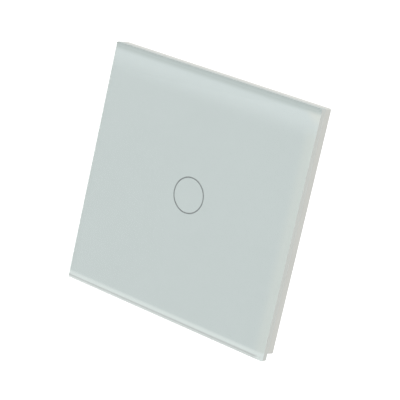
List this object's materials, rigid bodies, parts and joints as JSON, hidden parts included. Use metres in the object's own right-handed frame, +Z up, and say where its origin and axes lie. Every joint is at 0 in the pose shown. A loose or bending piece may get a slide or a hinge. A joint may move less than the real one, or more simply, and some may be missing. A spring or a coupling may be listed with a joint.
{
  "type": "touch light switch",
  "caption": "Square wall touch switch: a bevelled, back-painted glass panel with a thin printed ring clips on a mounting plate that carries touch board, relay board and screw terminals.",
  "frame": {"origin": "centre of the wall face of the mounting plate, midway between the two wall-box screw slots", "axes": "+X to the right as seen from the room, +Z up, and the glass faces -Y, so the housing goes into the wall along +Y"},
  "size_m": [0.086, 0.0344, 0.086],
  "materials": {
    "clear_glass": "polished float glass, bevelled edge",
    "white_enamel": "fired white enamel seen through glass",
    "ring_print": "grey translucent print",
    "foam_tape": "fine foam",
    "frame_plastic": "fine moulded texture",
    "plate_plastic": "fine moulded texture",
    "housing_plastic": "spark-eroded moulded texture",
    "spring_steel": "rolled bright strip",
    "zinc_steel": "bright zinc plate",
    "clear_plastic": "clear moulding, frosted rim",
    "gilt_wire": "gold flash on spring wire",
    "circuit_board": "green solder mask over copper tracks",
    "chip_black": "moulded epoxy",
    "led_lens": "milky lens",
    "ceramic_tan": "fired ceramic with tinned ends",
    "header_black": "glass-filled moulding",
    "nylon_white": "natural moulding",
    "terminal_plastic": "moulded, slightly glossy",
    "brass": "nickel-flashed stamping",
    "relay_blue": "smooth moulding",
    "soft_iron": "plated pressing",
    "copper_wire": "lacquered winding",
    "contact_bronze": "rolled strip with silver contact",
    "film_yellow": "smooth moulded box",
    "sleeve_navy": "shrink sleeve on an aluminium can",
    "ferrite": "fired ferrite",
    "disc_blue": "dipped epoxy",
    "fuse_brown": "moulded can"
  },
  "bodies": {
    "base": {"front_plate": "plate_plastic", "panel_clips": "spring_steel", "case_screws": "zinc_steel", "light_guide": "clear_plastic", "touch_spring": "gilt_wire", "touch_board": "circuit_board", "touch_chip": "chip_black", "indicator_leds": "led_lens", "touch_board_parts": "ceramic_tan", "header_pins": "header_black", "header_socket": "header_black", "board_pillars": "nylon_white", "power_board": "circuit_board", "terminal_block": "terminal_plastic", "terminal_bars": "brass", "relay_base": "header_black", "relay_cover": "relay_blue", "relay_pins": "zinc_steel", "relay_yoke": "soft_iron", "relay_core": "soft_iron", "relay_bobbin": "nylon_white", "relay_coil": "copper_wire", "relay_fixed_contact": "contact_bronze", "supply_capacitor": "film_yellow", "smoothing_capacitor": "sleeve_navy", "choke_core": "ferrite", "choke_winding": "copper_wire", "varistor": "disc_blue", "fuse": "fuse_brown", "bridge_rectifier": "chip_black", "rear_housing": "housing_plastic"},
    "panel": {"glass_panel": "clear_glass", "back_enamel": "white_enamel", "touch_ring": "ring_print", "glass_tape": "foam_tape", "panel_frame": "frame_plastic"},
    "armature": {"relay_armature": "soft_iron", "relay_blade": "contact_bronze"},
    "screw_1": {"terminal_screw_1": "zinc_steel"},
    "screw_2": {"terminal_screw_2": "zinc_steel"},
    "screw_3": {"terminal_screw_3": "zinc_steel"},
    "cage_1": {"terminal_cage_1": "brass"},
    "cage_2": {"terminal_cage_2": "brass"},
    "cage_3": {"terminal_cage_3": "brass"}
  },
  "joints": [
    {"name": "panel_pull", "type": "slide", "parent": "base", "child": "panel", "axis": [0, -1, 0], "range_m": [0, 0.03], "deforming": ["panel_clips"]},
    {"name": "armature_pull_in", "type": "hinge", "parent": "base", "child": "armature", "pos_m": [-0.0023, 0.0211, -0.00545], "axis": [0, 0, 1], "range_deg": [0, 6], "stiffness_Nm_per_rad": 0.025, "springref_deg": -3.44},
    {"name": "screw_turn_1", "type": "hinge", "parent": "base", "child": "screw_1", "pos_m": [-0.01, 0.0245, -0.0195], "axis": [0, -1, 0], "range_deg": [0, 1800]},
    {"name": "screw_turn_2", "type": "hinge", "parent": "base", "child": "screw_2", "pos_m": [0, 0.0245, -0.0195], "axis": [0, -1, 0], "range_deg": [0, 1800]},
    {"name": "screw_turn_3", "type": "hinge", "parent": "base", "child": "screw_3", "pos_m": [0.01, 0.0245, -0.0195], "axis": [0, -1, 0], "range_deg": [0, 1800]},
    {"name": "cage_lift_1", "type": "slide", "parent": "base", "child": "cage_1", "axis": [0, 1, 0], "range_m": [0, 0.0025]},
    {"name": "cage_lift_2", "type": "slide", "parent": "base", "child": "cage_2", "axis": [0, 1, 0], "range_m": [0, 0.0025]},
    {"name": "cage_lift_3", "type": "slide", "parent": "base", "child": "cage_3", "axis": [0, 1, 0], "range_m": [0, 0.0025]}
  ],
  "couplings": [
    {"joint": "screw_turn_1", "follows": "cage_lift_1", "rad_per_m": 12566},
    {"joint": "screw_turn_2", "follows": "cage_lift_2", "rad_per_m": 12566},
    {"joint": "screw_turn_3", "follows": "cage_lift_3", "rad_per_m": 12566}
  ]
}
